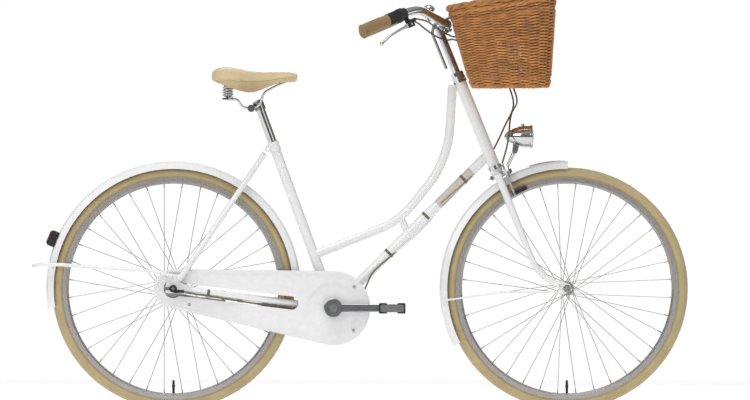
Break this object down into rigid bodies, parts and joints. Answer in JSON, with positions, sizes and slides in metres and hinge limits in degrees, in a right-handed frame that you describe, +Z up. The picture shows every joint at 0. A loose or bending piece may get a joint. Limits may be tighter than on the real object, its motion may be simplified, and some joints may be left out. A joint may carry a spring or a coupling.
{
  "type": "step-through city bicycle",
  "caption": "Step-through loop-frame city bicycle with closed chaincase, sprung saddle, swept bar, mudguards, headlamp and wicker front basket.",
  "frame": {"origin": "on the ground, midway between the rear end of the hoop and the front of the front tyre, on the middle plane", "axes": "+X forward, +Y to the rider's left, +Z up"},
  "size_m": [1.8979, 0.6342, 1.2201],
  "materials": {
    "white_paint": "gloss",
    "white_case": "gloss",
    "chrome": "polished",
    "steel": "satin",
    "alloy": "satin",
    "tyre_cream": "matte",
    "black_rubber": "matte",
    "black_plastic": "satin",
    "red_lens": "gloss",
    "tan_leather": "satin",
    "tan_grip": "matte",
    "wicker": "satin",
    "cable_sleeve": "satin"
  },
  "bodies": {
    "frame": {"seat_tube": "white_paint", "head_tube": "white_paint", "bottom_bracket_shell": "white_paint", "down_tube": "white_paint", "top_tube": "white_paint", "chainstays": "white_paint", "seatstays": "white_paint", "chaincase_outer": "white_case", "chaincase_inner": "white_case", "chain": "steel", "rear_mudguard": "white_paint", "rear_hoop": "white_paint", "tail_lamp": "black_plastic", "tail_lens": "red_lens", "rear_axle": "steel", "shift_bellcrank": "chrome", "rear_shift_cable": "cable_sleeve", "headset_cups": "chrome"},
    "rear_wheel": {"rear_tyre": "tyre_cream", "rear_rim": "alloy", "rear_spokes": "steel", "rear_hub": "alloy"},
    "sprocket": {"rear_sprocket": "steel"},
    "crankset": {"crank_spindle": "steel", "chainring": "steel", "right_crank": "chrome", "left_crank": "chrome"},
    "right_pedal": {"right_pedal_frame": "chrome", "right_pedal_rubbers": "black_rubber"},
    "left_pedal": {"left_pedal_frame": "chrome", "left_pedal_rubbers": "black_rubber"},
    "saddle": {"seatpost": "chrome", "saddle_clamp": "chrome", "saddle_frame": "steel", "saddle_cover": "tan_leather"},
    "steering": {"fork": "white_paint", "stem": "chrome", "handlebar": "chrome", "right_grip": "tan_grip", "left_grip": "tan_grip", "shifter_housing": "black_plastic", "lever_bracket": "chrome", "bell": "chrome", "basket": "wicker", "basket_hooks": "black_plastic", "lamp_bracket": "chrome", "front_mudguard": "white_paint", "front_stays": "white_paint", "front_axle": "steel", "brake_cable": "cable_sleeve", "front_shift_cable": "cable_sleeve"},
    "front_wheel": {"front_tyre": "tyre_cream", "front_rim": "alloy", "front_spokes": "steel", "front_hub": "alloy"},
    "headlamp": {"headlamp": "chrome"},
    "brake_lever": {"brake_lever": "chrome"},
    "twist_grip": {"twist_sleeve": "black_rubber"},
    "caliper_arm_right": {"caliper_right": "steel"},
    "caliper_arm_left": {"caliper_left": "steel"}
  },
  "joints": [
    {"name": "steering_turn", "type": "hinge", "parent": "frame", "child": "steering", "pos_m": [0.33923, 0, 0.82745], "axis": [-0.3746, 0, 0.9272], "range_deg": [-60, 60], "deforming": ["front_shift_cable"]},
    {"name": "front_wheel_spin", "type": "hinge", "parent": "steering", "child": "front_wheel", "pos_m": [0.599, 0, 0.35], "axis": [0, 1, 0], "continuous": true},
    {"name": "rear_wheel_spin", "type": "hinge", "parent": "frame", "child": "rear_wheel", "pos_m": [-0.539, 0, 0.35], "axis": [0, 1, 0], "continuous": true},
    {"name": "crank_spin", "type": "hinge", "parent": "frame", "child": "crankset", "pos_m": [-0.0764, 0, 0.2936], "axis": [0, 1, 0], "continuous": true, "deforming": ["chain"]},
    {"name": "sprocket_spin", "type": "hinge", "parent": "frame", "child": "sprocket", "pos_m": [-0.539, 0, 0.35], "axis": [0, 1, 0], "continuous": true},
    {"name": "right_pedal_spin", "type": "hinge", "parent": "crankset", "child": "right_pedal", "pos_m": [0.0936, 0, 0.2936], "axis": [0, 1, 0], "continuous": true},
    {"name": "left_pedal_spin", "type": "hinge", "parent": "crankset", "child": "left_pedal", "pos_m": [-0.2464, 0, 0.2936], "axis": [0, 1, 0], "continuous": true},
    {"name": "seatpost_slide", "type": "slide", "parent": "frame", "child": "saddle", "axis": [-0.3445, 0, 0.9388], "range_m": [-0.06, 0.1]},
    {"name": "headlamp_tilt", "type": "hinge", "parent": "steering", "child": "headlamp", "pos_m": [0.449, 0, 0.748], "axis": [0, 1, 0], "range_deg": [-10, 10]},
    {"name": "brake_lever_pull", "type": "hinge", "parent": "steering", "child": "brake_lever", "pos_m": [0.1462, -0.22607, 1.11113], "axis": [-0.4523, 0.8729, -0.1827], "range_deg": [0, 15], "stiffness_Nm_per_rad": 1, "springref_deg": -20.05},
    {"name": "caliper_right_close", "type": "hinge", "parent": "steering", "child": "caliper_arm_right", "pos_m": [0.42254, 0, 0.68531], "axis": [0.9272, 0, 0.3746], "range_deg": [0, 1.5]},
    {"name": "caliper_left_close", "type": "hinge", "parent": "steering", "child": "caliper_arm_left", "pos_m": [0.4281, 0, 0.68756], "axis": [0.9272, 0, 0.3746], "range_deg": [-1.5, 0]},
    {"name": "gear_twist", "type": "hinge", "parent": "steering", "child": "twist_grip", "pos_m": [0.09492, -0.24879, 1.12955], "axis": [0.8035, 0.4878, 0.3413], "range_deg": [-35, 35]}
  ],
  "couplings": [
    {"joint": "sprocket_spin", "follows": "crank_spin", "ratio": 2},
    {"joint": "caliper_right_close", "follows": "brake_lever_pull", "ratio": 0.097},
    {"joint": "caliper_left_close", "follows": "brake_lever_pull", "ratio": -0.097}
  ]
}
